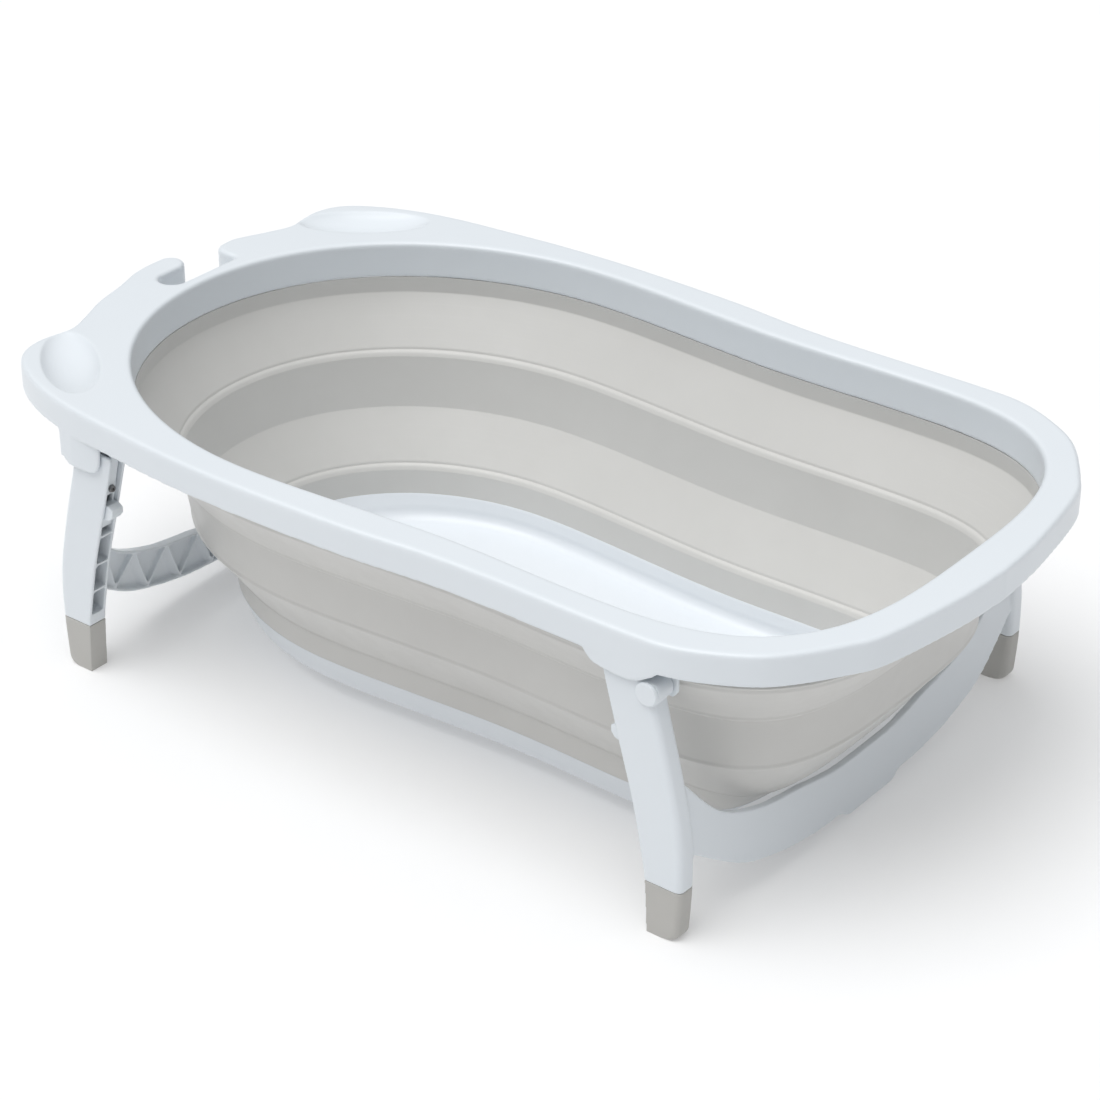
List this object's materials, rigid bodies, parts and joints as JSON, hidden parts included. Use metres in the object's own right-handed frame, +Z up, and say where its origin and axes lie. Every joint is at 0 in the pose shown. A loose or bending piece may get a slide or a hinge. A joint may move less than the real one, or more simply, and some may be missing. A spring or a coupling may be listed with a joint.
{
  "type": "baby bathtub",
  "caption": "Folding baby bathtub: a rigid rim with soap dishes and a hanging hook, a collapsible bellows basin with a hard tray floor and drain plug, and fold-under leg frames.",
  "frame": {"origin": "on the floor, at the centre of the tub's length and width", "axes": "+X towards the foot end, -X towards the head end with the dishes and hook, +Y to the left side seen from the head end looking to the foot end, +Z up"},
  "size_m": [0.8198, 0.483, 0.237],
  "materials": {
    "white_plastic": "smooth glossy white polypropylene",
    "grey_soft_rubber": "satin warm grey soft thermoplastic rubber",
    "grey_foot_rubber": "matte grey non-slip rubber",
    "dark_steel": "dark plated steel screw",
    "seal_rubber": "dark soft seal rubber"
  },
  "bodies": {
    "rim_body": {"rim": "white_plastic", "bellows_top_band": "grey_soft_rubber", "foot_left_hinge_pin": "white_plastic", "foot_right_hinge_pin": "white_plastic", "head_left_hinge_pin": "white_plastic", "head_right_hinge_pin": "white_plastic"},
    "middle_body": {"bellows_middle_band": "grey_soft_rubber", "bellows_upper_web": "grey_soft_rubber"},
    "tray_body": {"tray": "white_plastic", "bellows_bottom_band": "grey_soft_rubber", "bellows_lower_web": "grey_soft_rubber"},
    "drain_body": {"drain_plug": "white_plastic", "drain_seal": "seal_rubber"},
    "foot_legs": {"foot_leg_frame": "white_plastic", "foot_left_foot_cap": "grey_foot_rubber", "foot_left_hinge_arm": "white_plastic", "foot_left_arm_screw": "dark_steel", "foot_right_foot_cap": "grey_foot_rubber", "foot_right_hinge_arm": "white_plastic", "foot_right_arm_screw": "dark_steel"},
    "head_legs": {"head_leg_frame": "white_plastic", "head_left_foot_cap": "grey_foot_rubber", "head_left_hinge_arm": "white_plastic", "head_left_arm_screw": "dark_steel", "head_right_foot_cap": "grey_foot_rubber", "head_right_hinge_arm": "white_plastic", "head_right_arm_screw": "dark_steel"},
    "foot_left_lever": {"foot_left_release_lever": "white_plastic"},
    "foot_right_lever": {"foot_right_release_lever": "white_plastic"},
    "head_left_lever": {"head_left_release_lever": "white_plastic"},
    "head_right_lever": {"head_right_release_lever": "white_plastic"}
  },
  "joints": [
    {"name": "basin_collapse", "type": "slide", "parent": "rim_body", "child": "middle_body", "axis": [0, 0, 1], "range_m": [0, 0.088], "deforming": ["bellows_upper_web"]},
    {"name": "tray_collapse", "type": "slide", "parent": "middle_body", "child": "tray_body", "axis": [0, 0, 1], "range_m": [0, 0.088], "deforming": ["bellows_lower_web"]},
    {"name": "foot_leg_fold", "type": "hinge", "parent": "rim_body", "child": "foot_legs", "pos_m": [0.272, 0, 0.194], "axis": [0, 1, 0], "range_deg": [0, 80]},
    {"name": "head_leg_fold", "type": "hinge", "parent": "rim_body", "child": "head_legs", "pos_m": [-0.272, 0, 0.194], "axis": [0, -1, 0], "range_deg": [0, 80]},
    {"name": "drain_lift", "type": "slide", "parent": "tray_body", "child": "drain_body", "axis": [0, 0, 1], "range_m": [0, 0.03]},
    {"name": "foot_left_release", "type": "hinge", "parent": "foot_legs", "child": "foot_left_lever", "pos_m": [0.257, 0.2262, 0.138], "axis": [0, 1, 0], "range_deg": [0, 6], "stiffness_Nm_per_rad": 0.05, "springref_deg": -5.73},
    {"name": "foot_right_release", "type": "hinge", "parent": "foot_legs", "child": "foot_right_lever", "pos_m": [0.257, -0.2262, 0.138], "axis": [0, 1, 0], "range_deg": [0, 6], "stiffness_Nm_per_rad": 0.05, "springref_deg": -5.73},
    {"name": "head_left_release", "type": "hinge", "parent": "head_legs", "child": "head_left_lever", "pos_m": [-0.257, 0.224, 0.138], "axis": [0, -1, 0], "range_deg": [0, 6], "stiffness_Nm_per_rad": 0.05, "springref_deg": -5.73},
    {"name": "head_right_release", "type": "hinge", "parent": "head_legs", "child": "head_right_lever", "pos_m": [-0.257, -0.224, 0.138], "axis": [0, -1, 0], "range_deg": [0, 6], "stiffness_Nm_per_rad": 0.05, "springref_deg": -5.73}
  ],
  "couplings": [
    {"joint": "tray_collapse", "follows": "basin_collapse", "ratio": 1},
    {"joint": "foot_leg_fold", "follows": "basin_collapse", "rad_per_m": 15.86},
    {"joint": "head_leg_fold", "follows": "basin_collapse", "rad_per_m": 15.86}
  ]
}
